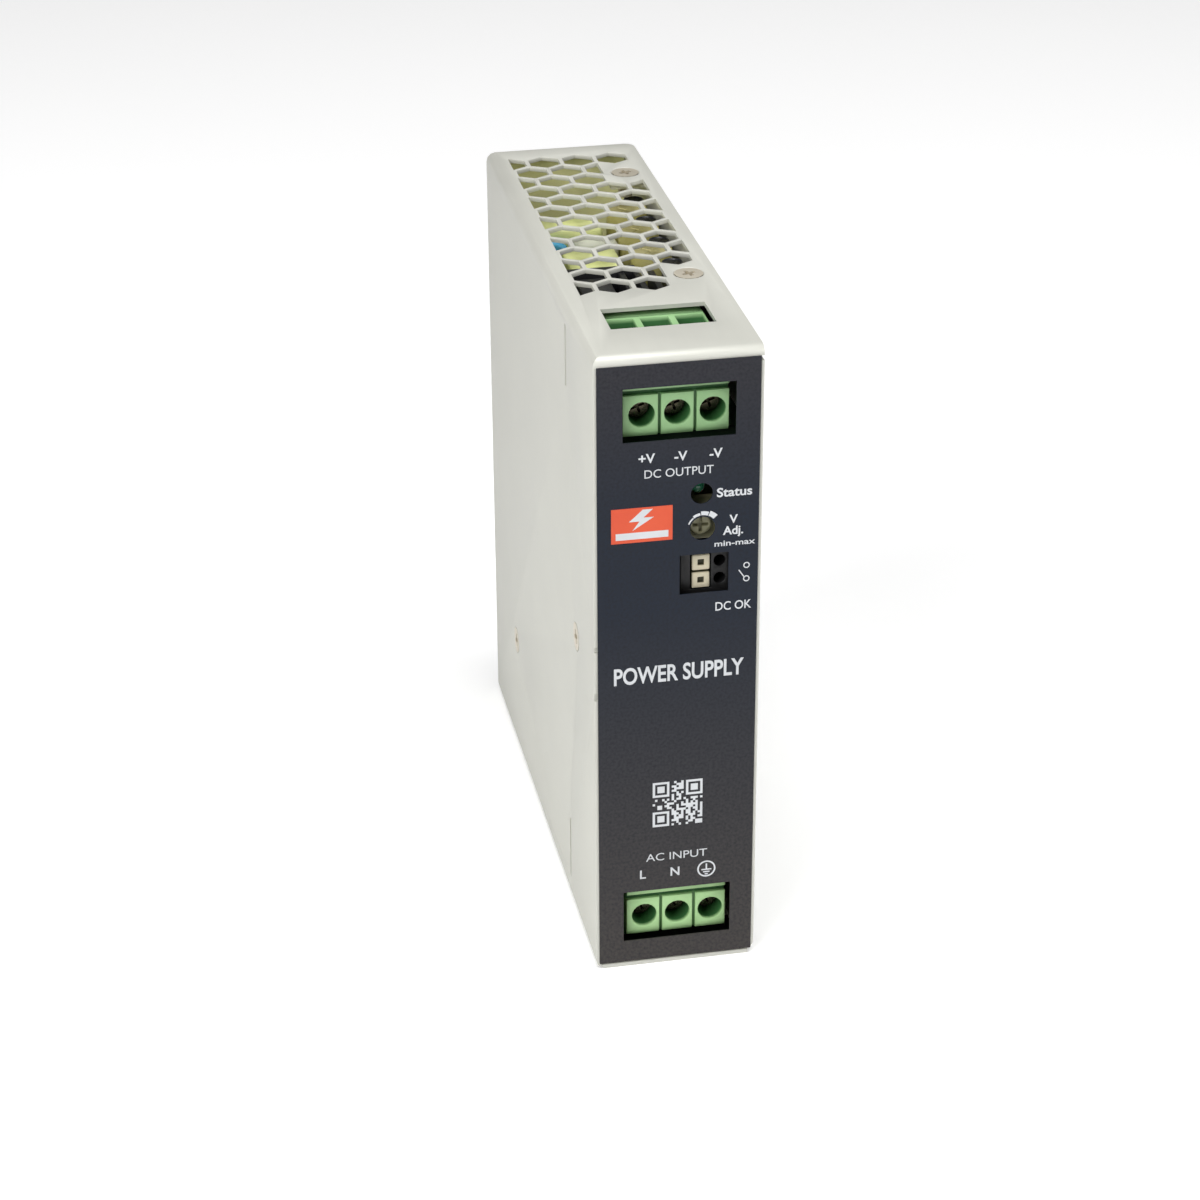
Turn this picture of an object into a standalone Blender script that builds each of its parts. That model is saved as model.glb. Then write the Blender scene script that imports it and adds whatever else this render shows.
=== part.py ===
"""Slim DIN rail power supply: folded sheet case, screw terminals, rail clip and the power stage inside.

The model stands upright: +X is right seen from the front, the front faces -Y, +Z is up, in metres.
The origin is the middle of the footprint, level with the underside of the case. Sizes below are in
millimetres. Depths (y) are counted from the front face of the case towards the rail.
"""

import math

import bmesh
import bpy
from mathutils import Matrix, Vector

MM = 0.001

# Case
WIDTH = 30.4
DEPTH = 114.0
HEIGHT = 124.0
SHEET = 0.8
BEND = 1.8
GAP = 0.3
LABEL_FRONT = 0.35
LABEL_BACK = 0.1
LABEL_LIP = 0.8
CLIP_DEPTH = 5.7
FRONT = LABEL_FRONT - (LABEL_FRONT + DEPTH + CLIP_DEPTH) / 2

HALF = WIDTH / 2
INNER = HALF - SHEET

# Openings in the front panel and the label: (left, right, bottom, top)
OUTPUT_WINDOW = (-10.0, 10.2, 107.9, 118.0)
INPUT_WINDOW = (-10.0, 10.4, 5.7, 16.4)
SIGNAL_WINDOW = (0.3, 9.2, 77.6, 85.3)
LED_HOLE = (4.2, 97.1, 2.0)
TRIMMER_HOLE = (4.4, 90.3, 2.3)
WIRE_WINDOW = (-9.4, 9.6, 12.9, 22.8)

# Vents: a staggered field of pointed hexagons
VENT_PITCH = 6.91
VENT_FLAT = 3.05
VENT_ROWS = 13
VENT_FIRST_X = -8.12
VENT_FIRST_Y = 105.6
VENT_LEFT = -11.6
VENT_RIGHT = 12.6

# Countersunk screws
COVER_SCREW_X = 10.0
COVER_SCREW_Y = (37.5, 96.1)
SIDE_SCREWS = ((87.3, 25.9), (18.1, 61.6))
BRACKET_SCREW_X = 7.0
BRACKET_SCREW_Z = 66.0

# Screw terminals
POLE_PITCH = 6.35
BLOCK_FRONT = 2.0
BLOCK_BACK = 27.0
BLOCK_LEFT = 9.7
BLOCK_RIGHT = 9.2
BLOCK_FOOT = -4.05
OUTPUT_AXIS = (0.2, 112.05)
OUTPUT_REACH = 10.0
OUTPUT_SECTION = ((BLOCK_FRONT, BLOCK_FOOT), (BLOCK_BACK, BLOCK_FOOT), (BLOCK_BACK, OUTPUT_REACH),
                  (BLOCK_FRONT, OUTPUT_REACH))
INPUT_AXIS = (0.8, 9.6)
INPUT_REACH = 8.3
INPUT_TOP = 6.5
INPUT_STEP = 9.0
INPUT_SECTION = ((BLOCK_FRONT, BLOCK_FOOT), (INPUT_STEP, BLOCK_FOOT), (INPUT_STEP, -INPUT_REACH),
                 (BLOCK_BACK, -INPUT_REACH), (BLOCK_BACK, INPUT_TOP), (BLOCK_FRONT, INPUT_TOP))
BORE = 2.4
SCREW_HEAD = 2.0
SCREW_SHANK = 1.3
CAGE_HALF = 2.3
CHAMBER_HALF = 2.6

# Boards: low and high face along their thickness
MAIN_BOARD = (-12.4, -10.8)
OUTPUT_BOARD = (105.6, 107.2)
INPUT_BOARD = (16.4, 18.0)
CONTROL_BOARD = (-1.9, -0.3)

# Rail clip
RAIL_TOP = 82.5
RAIL_BOTTOM = 47.5
PLATE = (0.3, 2.3)
HOOK = (3.9, 5.7)
SPRING_RADIUS = 1.5
SPRING_WIRE = 0.5
SPRING_LOW = 28.3
SPRING_HIGH = 41.7
SPRING_TURNS = 7

ROUND = 20
SMALL_ROUND = 16


# ---------------------------------------------------------------- materials

def material(name, colour, metallic, roughness):
    """One Principled material with a plain colour."""
    look = bpy.data.materials.new(name)
    look.use_nodes = True
    shader = look.node_tree.nodes["Principled BSDF"]
    shader.inputs["Base Color"].default_value = (*colour, 1.0)
    shader.inputs["Metallic"].default_value = metallic
    shader.inputs["Roughness"].default_value = roughness
    return look


# ---------------------------------------------------------------- mesh tools

def place(x, y, z):
    """A point in metres from millimetres, with y counted from the front of the case."""
    return Vector((x * MM, (y + FRONT) * MM, z * MM))


def add_box(bm, low, high):
    """Add a box between two corners and return its vertices."""
    start = place(*low)
    end = place(*high)
    size = end - start
    matrix = Matrix.Translation((start + end) / 2) @ Matrix.Diagonal((size.x, size.y, size.z, 1))
    return bmesh.ops.create_cube(bm, size=1.0, matrix=matrix)["verts"]


def add_prism(bm, outline, axis, start, end):
    """Extrude a flat outline along x, y or z. The outline holds the other two coordinates in order."""
    def point(a, b, along):
        if axis == "x":
            return place(along, a, b)
        if axis == "y":
            return place(a, along, b)
        return place(a, b, along)

    face = bm.faces.new([bm.verts.new(point(a, b, start)) for a, b in outline])
    grown = bmesh.ops.extrude_face_region(bm, geom=[face])["geom"]
    moved = [item for item in grown if isinstance(item, bmesh.types.BMVert)]
    bmesh.ops.translate(bm, verts=moved, vec=point(0, 0, end) - point(0, 0, start))


def add_turned(bm, profile, centre, axis, steps=ROUND):
    """Spin a profile of (radius, place along the axis) about x, y or z through the centre."""
    corners = [bm.verts.new((radius * MM, 0, along * MM)) for radius, along in profile]
    edges = [bm.edges.new(pair) for pair in zip(corners, corners[1:])]
    if profile[0][0] > 0:
        edges.append(bm.edges.new((corners[-1], corners[0])))
    before = {vert for vert in bm.verts if vert not in set(corners)}
    bmesh.ops.spin(bm, geom=corners + edges, cent=(0, 0, 0), axis=(0, 0, 1), angle=2 * math.pi,
                   steps=steps, use_merge=True)
    fresh = [vert for vert in bm.verts if vert not in before]
    turn = {"z": Matrix(), "y": Matrix.Rotation(-math.pi / 2, 4, "X"),
            "x": Matrix.Rotation(math.pi / 2, 4, "Y")}[axis]
    bmesh.ops.transform(bm, matrix=Matrix.Translation(place(*centre)) @ turn, verts=fresh)
    bmesh.ops.remove_doubles(bm, verts=bm.verts, dist=1e-6)


def pick_edges(bm, *wanted):
    """Edges whose two ends match a set of sides, such as {"x": "low", "z": "high"}."""
    picked = []
    bounds = {}
    for index, letter in enumerate("xyz"):
        values = [vert.co[index] for vert in bm.verts]
        bounds[letter] = {"low": min(values), "high": max(values)}
    for edge in bm.edges:
        for sides in wanted:
            if all(abs(vert.co["xyz".index(letter)] - bounds[letter][side]) < 1e-7
                   for letter, side in sides.items() for vert in edge.verts):
                picked.append(edge)
    return picked


def round_edges(bm, edges, radius, segments=3):
    """Round the given edges."""
    bmesh.ops.bevel(bm, geom=edges, offset=radius * MM, offset_type="OFFSET", segments=segments,
                    profile=0.5, affect="EDGES", clamp_overlap=True)


def make(name, bm, look=None, smooth=False):
    """Turn a bmesh into a linked object."""
    bmesh.ops.recalc_face_normals(bm, faces=bm.faces)
    mesh = bpy.data.meshes.new(name)
    bm.to_mesh(mesh)
    bm.free()
    if look:
        mesh.materials.append(look)
    if smooth:
        mesh.shade_smooth()
        mesh.set_sharp_from_angle(angle=math.radians(35))
    item = bpy.data.objects.new(name, mesh)
    bpy.context.scene.collection.objects.link(item)
    return item


def box(name, look, low, high, radius=0.0):
    """A plain block with all its edges slightly rounded."""
    bm = bmesh.new()
    add_box(bm, low, high)
    if radius:
        round_edges(bm, list(bm.edges), radius, 2)
    return make(name, bm, look)


def cut(item, name, build):
    """Subtract a hidden cutter that the build function draws."""
    bm = bmesh.new()
    build(bm)
    cutter = make(name, bm)
    cut_with(item, cutter)
    return cutter


def cut_with(item, cutter):
    """Subtract an existing cutter."""
    cutter.hide_render = True
    cutter.display_type = "WIRE"
    modifier = item.modifiers.new(cutter.name, "BOOLEAN")
    modifier.operation = "DIFFERENCE"
    modifier.solver = "EXACT"
    modifier.object = cutter


def set_pivot(item, centre):
    """Move an object's origin to its joint and leave its shape where it is."""
    pivot = place(*centre)
    item.data.transform(Matrix.Translation(-pivot))
    item.location = pivot


def plus_outline(a, b, arm, reach):
    """The twelve corners of a plus sign centred on (a, b)."""
    corners = ((arm, reach), (arm, arm), (reach, arm), (reach, -arm), (arm, -arm), (arm, -reach),
               (-arm, -reach), (-arm, -arm), (-reach, -arm), (-reach, arm), (-arm, arm), (-arm, reach))
    return [(a + x, b + y) for x, y in corners]


# ---------------------------------------------------------------- case

def sheet_box(name, look, low, high, hollow_low, hollow_high, bends, bend):
    """A folded sheet: a box with rounded bends, hollowed from its open sides."""
    bm = bmesh.new()
    add_box(bm, low, high)
    round_edges(bm, pick_edges(bm, *bends), bend)
    item = make(name, bm, look)

    def hollow(cutter):
        add_box(cutter, hollow_low, hollow_high)
        round_edges(cutter, pick_edges(cutter, *bends), bend - SHEET)

    cut(item, name + "_hollow", hollow)
    return item


def near_screw(x, y, spacing):
    """Whether a vent lies within so many pitches of a cover screw."""
    return any(math.hypot(x - COVER_SCREW_X, y - spot) < VENT_PITCH * spacing for spot in COVER_SCREW_Y)


def vent_outline(x, y):
    """A hexagon with points to the front and back, halved at the edges of the field and by a screw."""
    side = VENT_FLAT / math.cos(math.pi / 6)
    raw = [(x, y + side), (x + VENT_FLAT, y + side / 2), (x + VENT_FLAT, y - side / 2),
           (x, y - side), (x - VENT_FLAT, y - side / 2), (x - VENT_FLAT, y + side / 2)]
    if x < VENT_LEFT + VENT_FLAT and x - VENT_FLAT < VENT_LEFT:
        return [(x, y - side), (x + VENT_FLAT, y - side / 2), (x + VENT_FLAT, y + side / 2), (x, y + side)]
    if x + VENT_FLAT > VENT_RIGHT or near_screw(x, y, 1.0):
        return [(x, y + side), (x - VENT_FLAT, y + side / 2), (x - VENT_FLAT, y - side / 2), (x, y - side)]
    return raw


def vents(bm):
    """Hexagons through the top and the bottom sheet, left out around the cover screws."""
    for row in range(VENT_ROWS):
        y = VENT_FIRST_Y - row * VENT_PITCH * math.cos(math.pi / 6)
        shifted = row % 2 == 0
        for column in range(-1, 4):
            x = VENT_FIRST_X + (column + 0.5 * shifted) * VENT_PITCH
            if x < VENT_LEFT - 0.1 or x > VENT_RIGHT + 0.1:
                continue
            if near_screw(x, y, 0.66):
                continue
            add_prism(bm, vent_outline(x, y), "z", -1, HEIGHT + 1)


def countersink(bm, centre, axis, outward, spare=0.0):
    """A countersunk M3 screw as a turned shape. A spare grows it into the cutter for its hole."""
    profile = [(2.75 + spare, 0), (1.5 + spare, -1.25), (1.5 + spare, -5.0), (0, -5.0)]
    if spare:
        profile = [(0, 1.0), (2.75 + spare, 1.0)] + profile
    else:
        profile = [(0, 0)] + profile
    add_turned(bm, [(radius, along * outward) for radius, along in profile], centre, axis, SMALL_ROUND)


def sunk_screw(name, look, centre, axis, outward):
    """A flush countersunk screw with a cross recess."""
    bm = bmesh.new()
    countersink(bm, centre, axis, outward)
    item = make(name, bm, look, smooth=True)

    def recess(cutter):
        x, y, z = centre
        flat = {"x": (y, z), "y": (x, z), "z": (x, y)}[axis]
        along = {"x": x, "y": y, "z": z}[axis]
        add_prism(cutter, plus_outline(*flat, 0.35, 1.4), axis, along + outward * 0.5, along - outward * 0.9)

    cut(item, name + "_recess", recess)
    return item


def case_shell(look):
    """Left side, top, bottom and front in one folded sheet."""
    bends = ({"x": "low", "z": "high"}, {"x": "low", "z": "low"}, {"y": "low", "z": "high"})
    shell = sheet_box("case_shell", look, (-HALF, 0, 0), (HALF, DEPTH, HEIGHT),
                      (-INNER, SHEET, SHEET), (HALF + 5, DEPTH + 5, HEIGHT - SHEET), bends, BEND)

    def slits(bm):
        add_box(bm, (-INNER, -1, -1), (-INNER + GAP, SHEET + 0.4, HEIGHT - BEND - 0.4))
        add_box(bm, (INNER - GAP, -1, -1), (HALF + 1, SHEET + 1, HEIGHT - BEND))

    def lower_slit(bm):
        add_box(bm, (-INNER + 0.1, -1, SHEET), (HALF + 1, SHEET + 0.4, SHEET + GAP))

    def rear_corners(bm):
        for low, high in ((-1, SHEET + 0.5), (HEIGHT - SHEET - 0.5, HEIGHT + 1)):
            add_prism(bm, [(HALF + 1, DEPTH - BEND), (HALF + 1, DEPTH + 1), (HALF - BEND, DEPTH + 1),
                           (HALF - BEND, DEPTH), (HALF - 0.55 * BEND, DEPTH - 0.16 * BEND),
                           (HALF - 0.16 * BEND, DEPTH - 0.55 * BEND), (HALF, DEPTH - BEND)], "z", low, high)

    def side_marks(bm):
        for low, high in ((108.6, 120.4), (4.9, 18.0)):
            add_box(bm, (-HALF - 1, 25.5, low), (-INNER + 0.5, 26.5, high))
        for low, high in ((67.2, 68.4), (57.4, 58.9)):
            add_box(bm, (-HALF - 1, -1, low), (-INNER + 0.1, 0.5, high))

    def wire_windows(bm):
        left, right, near, far = WIRE_WINDOW
        add_box(bm, (left, near, HEIGHT - 2), (right, far, HEIGHT + 1))
        add_box(bm, (left, near, -1), (right, far, 2))

    cut(shell, "case_slits", slits)
    cut(shell, "case_lower_slit", lower_slit)
    cut(shell, "case_rear_corners", rear_corners)
    cut(shell, "case_side_marks", side_marks)
    cut(shell, "case_wire_windows", wire_windows)
    cut(shell, "case_vents", vents)

    def screw_seats(bm):
        for y in COVER_SCREW_Y:
            countersink(bm, (COVER_SCREW_X, y, HEIGHT), "z", 1, 0.2)
            countersink(bm, (COVER_SCREW_X, y, 0), "z", -1, 0.2)
        for y, z in SIDE_SCREWS:
            countersink(bm, (-HALF, y, z), "x", -1, 0.2)

    cut(shell, "case_screw_seats", screw_seats)
    return shell


def front_windows(extra):
    """A cutter for the front openings, wider by extra all round for the sheet than for the label."""
    bm = bmesh.new()
    for left, right, bottom, top in (OUTPUT_WINDOW, INPUT_WINDOW, SIGNAL_WINDOW):
        add_box(bm, (left - extra, -2, bottom - extra), (right + extra, SHEET + 0.6, top + extra))
    for x, z, hole in (LED_HOLE, TRIMMER_HOLE):
        radius = hole + extra
        add_turned(bm, [(0, -2), (radius, -2), (radius, SHEET + 0.6), (0, SHEET + 0.6)], (x, 0, z), "y")
    return make("front_windows", bm)


def front_label(look):
    """A printed foil over the front panel."""
    return box("front_label", look, (-HALF + 0.6, -LABEL_FRONT, 1.2), (HALF - 0.6, -LABEL_BACK, HEIGHT - BEND + 0.1))


def side_cover(look):
    """Right side and rear in one folded sheet, with four tabs under the top and over the bottom."""
    edge = SHEET + GAP
    bends = ({"x": "high", "y": "high"}, {"x": "high", "z": "high"}, {"x": "high", "z": "low"})
    cover = sheet_box("side_cover", look, (-INNER + 2 * GAP, 0, edge), (HALF, DEPTH, HEIGHT - edge),
                      (-HALF - 5, -5, edge + SHEET), (INNER, DEPTH - SHEET, HEIGHT - edge - SHEET), bends, 1.3)
    tab = 4.5
    outline = [(-HALF - 1, DEPTH - 1.6), (-HALF - 1, -6), (13.2, -6)]
    for y in COVER_SCREW_Y:
        outline += [(13.2, y - tab), (6.3, y - tab), (6.3, y + tab), (13.2, y + tab)]
    outline.append((13.2, DEPTH - 1.6))

    def flanges(bm):
        add_prism(bm, outline, "z", -1, edge + SHEET + 0.1)
        add_prism(bm, outline, "z", HEIGHT - edge - SHEET - 0.1, HEIGHT + 1)

    def front_corners(bm):
        add_box(bm, (INNER - 2, -2, HEIGHT - BEND - 3 * GAP), (HALF + 2, BEND + 0.7, HEIGHT + 2))
        add_box(bm, (INNER - 2, -2, -1), (INNER - 0.1, SHEET + 2 * GAP, 2 * BEND))

    def screw_holes(bm):
        for y in COVER_SCREW_Y:
            countersink(bm, (COVER_SCREW_X, y, HEIGHT), "z", 1, 0.2)
            countersink(bm, (COVER_SCREW_X, y, 0), "z", -1, 0.2)
        for x in (-BRACKET_SCREW_X, BRACKET_SCREW_X):
            countersink(bm, (x, DEPTH + PLATE[1], BRACKET_SCREW_Z), "y", 1, 0.2)

    cut(cover, "cover_flanges", flanges)
    cut(cover, "cover_front_corners", front_corners)
    cut(cover, "cover_screw_holes", screw_holes)
    return cover


# ---------------------------------------------------------------- screw terminals

def terminal(prefix, looks, axis, section, reach, up, tail):
    """A three pole block with its screws, clamp cages and contacts. Wires come from above or below."""
    middle, level = axis
    poles = [middle + POLE_PITCH * step for step in (-1, 0, 1)]
    left = middle - BLOCK_LEFT
    right = middle + BLOCK_RIGHT

    def span(low, high):
        return level + min(up * low, up * high), level + max(up * low, up * high)

    bm = bmesh.new()
    add_prism(bm, [(y, level + z) for y, z in section], "x", left, right)
    housing = make(prefix + "_terminal_housing", bm, looks["housing"])

    def face_lines(cutter):
        for x in (middle - POLE_PITCH / 2, middle + POLE_PITCH / 2):
            add_box(cutter, (x - 0.3, BLOCK_FRONT - 1, level + BLOCK_FOOT - 1),
                    (x + 0.3, BLOCK_FRONT + 0.8, level + 3.7))

    def face_groove(cutter):
        add_box(cutter, (left - 1, BLOCK_FRONT - 1.5, level + 3.65), (right + 1, BLOCK_FRONT + 1.0, level + 4.65))

    def lower_chamfer(cutter):
        foot = level + BLOCK_FOOT
        add_prism(cutter, [(BLOCK_FRONT - 1, foot - 1), (BLOCK_FRONT + 0.3, foot - 1), (BLOCK_FRONT + 0.3, foot),
                           (BLOCK_FRONT, foot + 0.9), (BLOCK_FRONT - 1, foot + 0.9)], "x", left - 1, right + 1)

    def rear_slot(cutter):
        low, high = span(reach - 3.0, reach + 1)
        add_box(cutter, (left - 1, 22.9, low), (right - 1, 23.6, high))

    def bores(cutter):
        for x in poles:
            add_turned(cutter, [(0, -2.0), (BORE, -2.0), (BORE, 6.1), (1.6, 6.1), (1.6, 10.0), (0, 10.0)],
                       (x, BLOCK_FRONT, level), "y", ROUND)

    def chambers(cutter):
        for x in poles:
            add_box(cutter, (x - CHAMBER_HALF, 11.0, level - 3.0), (x + CHAMBER_HALF, 22.1, level + 3.0))

    def entries(cutter):
        low, high = span(2.5, reach + 1)
        tail_low, tail_high = span(tail - 1, -2.5)
        for x in poles:
            add_box(cutter, (x - CHAMBER_HALF, 13.2, low), (x + CHAMBER_HALF, 22.1, high))
            add_box(cutter, (x - 0.8, 16.1, tail_low), (x + 0.8, 17.5, tail_high))

    cut(housing, prefix + "_face_lines", face_lines)
    cut(housing, prefix + "_face_groove", face_groove)
    cut(housing, prefix + "_lower_chamfer", lower_chamfer)
    cut(housing, prefix + "_rear_slot", rear_slot)
    cut(housing, prefix + "_chambers", chambers)
    cut(housing, prefix + "_entries", entries)
    cut(housing, prefix + "_bores", bores)

    for number, x in enumerate(poles, 1):
        terminal_screw(f"{prefix}_screw_{number}", looks["screw"], x, level)
        clamp_cage(f"{prefix}_cage_{number}", looks["cage"], x, level)
        bm = bmesh.new()
        corners = [(x - 1.5, 2.4), (x - 1.5, -2.2), (x - 0.5, -2.2), (x - 0.5, tail), (x + 0.5, tail),
                   (x + 0.5, -2.2), (x + 1.5, -2.2), (x + 1.5, 2.4)]
        add_prism(bm, [(a, level + up * b) for a, b in corners], "y", 16.4, 17.2)
        make(f"{prefix}_contact_{number}", bm, looks["contact"])


def terminal_screw(name, look, x, level):
    """The captive clamping screw of one pole."""
    bm = bmesh.new()
    add_turned(bm, [(0, 6.0), (SCREW_HEAD - 0.2, 6.0), (SCREW_HEAD, 6.2), (SCREW_HEAD, 7.8),
                    (SCREW_SHANK, 7.8), (SCREW_SHANK, 16.1), (0, 16.1)], (x, 0, level), "y", SMALL_ROUND)
    screw = make(name, bm, look, smooth=True)
    cut(screw, name + "_recess",
        lambda cutter: add_prism(cutter, plus_outline(x, level, 0.3, 1.45), "y", 5.5, 7.0))
    set_pivot(screw, (x, 6.0, level))


def clamp_cage(name, look, x, level):
    """The clamp frame that the screw draws towards the contact, shown open."""
    cage = box(name, look, (x - CAGE_HALF, 14.0, level - 2.6), (x + CAGE_HALF, 21.8, level + 2.6))
    cut(cage, name + "_window",
        lambda cutter: add_box(cutter, (x - 1.8, 15.2, level - 4), (x + 1.8, 20.8, level + 4)))
    cut(cage, name + "_thread",
        lambda cutter: add_turned(cutter, [(0, 13), (1.6, 13), (1.6, 16), (0, 16)], (x, 0, level), "y", SMALL_ROUND))
    set_pivot(cage, (x, 14.0, level))


# ---------------------------------------------------------------- front controls

def signal_terminal(looks):
    """The two pole push-in block for the signal contact, with its release buttons."""
    levels = (82.7, 79.2)
    housing = box("signal_terminal_housing", looks["housing"], (0.9, 1.9, 75.8), (9.7, 15.0, 86.1))

    def channel(bm):
        add_box(bm, (2.7, 1, 77.4), (6.5, 9.8, 84.5))

    def wire_holes(bm):
        for z in levels:
            add_turned(bm, [(0, 1), (1.1, 1), (1.1, 10), (0, 10)], (8.1, 0, z), "y", 12)

    cut(housing, "signal_channel", channel)
    cut(housing, "signal_wire_holes", wire_holes)
    for number, z in enumerate(levels, 1):
        name = f"release_button_{number}"
        button = box(name, looks["button"], (3.0, 1.6, z - 1.5), (6.2, 8.2, z + 1.5), 0.15)
        cut(button, name + "_dimple",
            lambda cutter, z=z: add_box(cutter, (4.0, 1, z - 0.6), (5.2, 2.4, z + 0.6)))
        set_pivot(button, (4.6, 1.6, z))


def trimmer(looks):
    """The voltage trimmer: a square body and a turning rotor with a cross slot."""
    x, z, _ = TRIMMER_HOLE
    body = box("trimmer_body", looks["housing"], (x - 3.3, 2.6, z - 3.3), (x + 3.3, 7.0, z + 3.3))
    cut(body, "trimmer_seat",
        lambda bm: add_turned(bm, [(0, 1), (2.25, 1), (2.25, 4.6), (0, 4.6)], (x, 0, z), "y"))
    bm = bmesh.new()
    add_turned(bm, [(0, 1.4), (1.85, 1.4), (2.0, 1.6), (2.0, 4.3), (0, 4.3)], (x, 0, z), "y")
    rotor = make("trimmer_rotor", bm, looks["rotor"], smooth=True)
    cut(rotor, "trimmer_slot", lambda cutter: add_prism(cutter, plus_outline(x, z, 0.3, 1.45), "y", 1.0, 2.3))
    set_pivot(rotor, (x, 1.4, z))


def status_led(look):
    """A three millimetre lamp behind the front panel."""
    x, z, _ = LED_HOLE
    dome = [(0, 2.2)]
    for step in range(1, 5):
        angle = step / 4 * math.pi / 2
        dome.append((1.5 * math.sin(angle), 3.7 - 1.5 * math.cos(angle)))
    bm = bmesh.new()
    add_turned(bm, dome + [(1.5, 6.4), (1.9, 6.4), (1.9, 7.4), (0, 7.4)], (x, 0, z), "y", 12)
    return make("status_led", bm, look, smooth=True)


# ---------------------------------------------------------------- boards and power parts

def boards(look, sheet_look):
    """The four circuit boards, and the insulation sheet that lines the left side and the rear."""
    main = box("main_board", look, (MAIN_BOARD[0], 4, 19.5), (MAIN_BOARD[1], 109, 104.5))
    bm = bmesh.new()
    add_prism(bm, [(-13.7, 3), (-13.3, 3), (-13.3, 111.9), (13.0, 111.9), (13.0, 112.3), (-13.7, 112.3)],
              "z", 5, 122)
    sheet = make("insulation_sheet", bm, sheet_look)

    def bracket_holes(bm):
        for x in (-BRACKET_SCREW_X, BRACKET_SCREW_X):
            add_turned(bm, [(0, 0), (1.9, 0), (1.9, 8), (0, 8)], (x, 108, BRACKET_SCREW_Z), "y", 12)

    cut(sheet, "bracket_holes", bracket_holes)
    for item in (main, sheet):
        def screw_holes(bm):
            for y, z in SIDE_SCREWS:
                add_turned(bm, [(0, -15), (1.8, -15), (1.8, -8), (0, -8)], (0, y, z), "x", 12)

        cut(item, item.name + "_holes", screw_holes)
    box("input_board", look, (-10.4, 5, INPUT_BOARD[0]), (13.6, 58, INPUT_BOARD[1]))
    box("control_board", look, (CONTROL_BOARD[0], 3, 72), (CONTROL_BOARD[1], 36, 103.5))
    bm = bmesh.new()
    add_prism(bm, [(-10.4, 5), (13.6, 5), (13.6, 104), (-10.4, 104), (-10.4, 72.8), (4.5, 72.8),
                   (4.5, 55.2), (-10.4, 55.2)], "z", *OUTPUT_BOARD)
    make("output_board", bm, look)


def transformer(looks):
    """A ferrite core with two windows and the taped winding on its middle leg."""
    core = box("transformer_core", looks["core"], (-10.2, 55.6, 96.4), (4.2, 72.4, 113.6))

    def windows(bm):
        add_box(bm, (-8.5, 57.6, 90), (2.5, 61.4, 120))
        add_box(bm, (-8.5, 66.6, 90), (2.5, 70.4, 120))

    cut(core, "core_windows", windows)
    bm = bmesh.new()
    corners = add_box(bm, (-8.2, 57.9, 92.0), (2.2, 70.1, 118.6))
    along = [edge for edge in bm.edges if abs(edge.verts[0].co.x - edge.verts[1].co.x) > 1e-5]
    round_edges(bm, along, 1.5)
    coil = make("transformer_coil", bm, looks["tape"], smooth=True)
    cut(coil, "coil_hole", lambda cutter: add_box(cutter, (-9, 61.1, 96.1), (3, 66.9, 113.9)))


def can(name, look, centre, radius, height):
    """An electrolytic capacitor standing up, with the rolled groove near its base."""
    bm = bmesh.new()
    edge = min(0.8, radius / 8)
    add_turned(bm, [(0, 0), (radius - edge, 0), (radius, edge), (radius, 1.6), (radius - 0.5, 2.1),
                    (radius, 2.6), (radius, height - edge), (radius - edge, height), (0, height)], centre, "z")
    return make(name, bm, look, smooth=True)


def comb_outline(left, right, base_low, base_high, tip, fins, thick):
    """A heatsink section: a base with fins, all in one outline."""
    points = [(left, base_low), (right, base_low)]
    step = (right - left - thick) / (fins - 1)
    for fin in reversed(range(fins)):
        start = left + fin * step
        points.append((start + thick, tip))
        points.append((start, tip))
        if fin:
            points.append((start, base_high))
            points.append((start - step + thick, base_high))
    return points


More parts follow.
